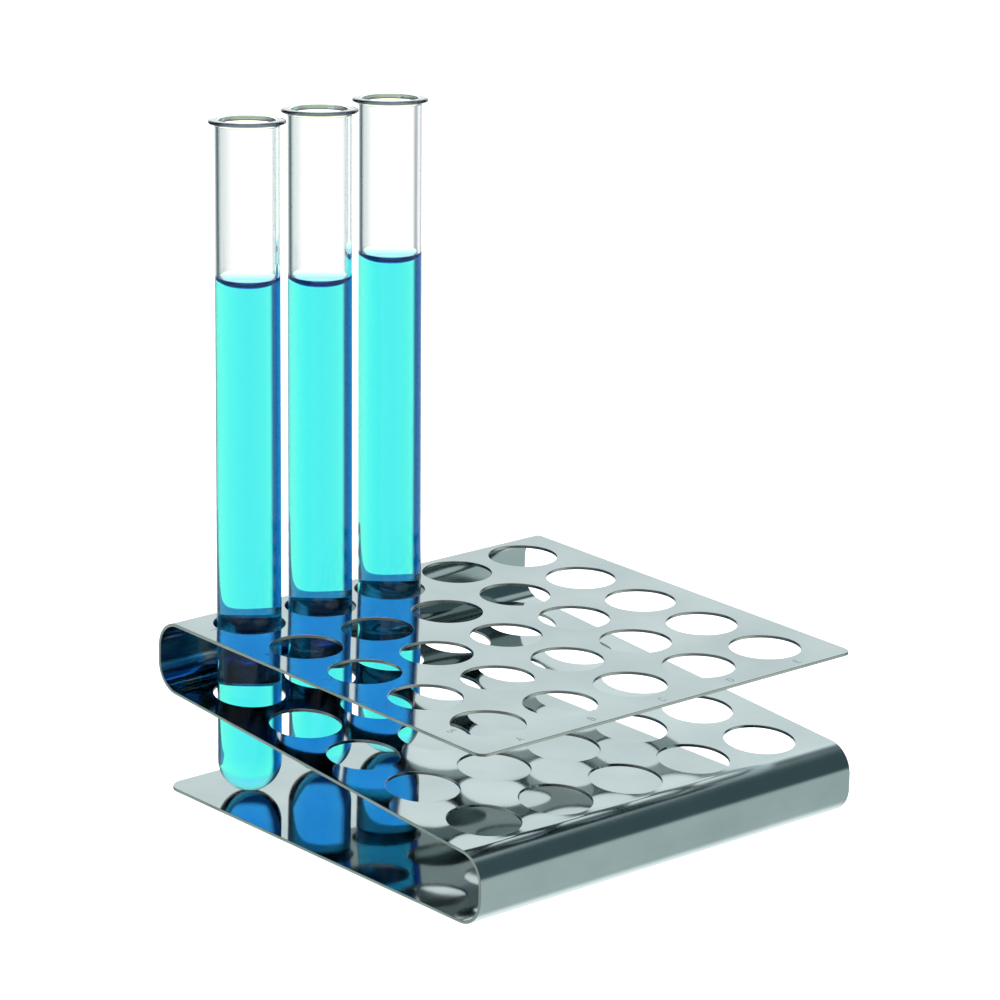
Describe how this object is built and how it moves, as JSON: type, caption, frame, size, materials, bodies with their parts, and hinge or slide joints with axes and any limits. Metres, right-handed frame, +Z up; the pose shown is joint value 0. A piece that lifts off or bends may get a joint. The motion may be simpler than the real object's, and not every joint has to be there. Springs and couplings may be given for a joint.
{
  "type": "test tube rack",
  "caption": "Bent sheet-steel test tube rack with a pierced top plate, a sloping pierced shelf and a flat base, holding filled glass test tubes.",
  "frame": {"origin": "middle of the underside of the bottom plate, on the surface the rack stands on, under the middle hole", "axes": "+Z up, +Y along the bends, +X from the left bend, where the tubes stand, towards the free edge of the top plate"},
  "size_m": [0.1261, 0.1212, 0.1697],
  "materials": {
    "polished_steel": "bright polished stainless sheet with faint rolling waves, a little duller on the outside of the bends",
    "clear_glass": "clear colourless laboratory glass, smooth and fire-polished at the lip",
    "blue_liquid": "clear turquoise solution, deep blue where steel lies behind it"
  },
  "bodies": {
    "rack": {"rack_sheet": "polished_steel"},
    "tube_1": {"tube_1_glass": "clear_glass", "tube_1_liquid": "blue_liquid"},
    "tube_2": {"tube_2_glass": "clear_glass", "tube_2_liquid": "blue_liquid"},
    "tube_3": {"tube_3_glass": "clear_glass", "tube_3_liquid": "blue_liquid"}
  },
  "joints": [
    {"name": "tube_1_lift", "type": "slide", "parent": "rack", "child": "tube_1", "axis": [-0.0739, 0.0462, 0.9962], "range_m": [0, 0.06]},
    {"name": "tube_2_lift", "type": "slide", "parent": "rack", "child": "tube_2", "axis": [-0.0739, 0.0462, 0.9962], "range_m": [0, 0.06]},
    {"name": "tube_3_lift", "type": "slide", "parent": "rack", "child": "tube_3", "axis": [-0.0739, 0.0462, 0.9962], "range_m": [0, 0.06]}
  ]
}
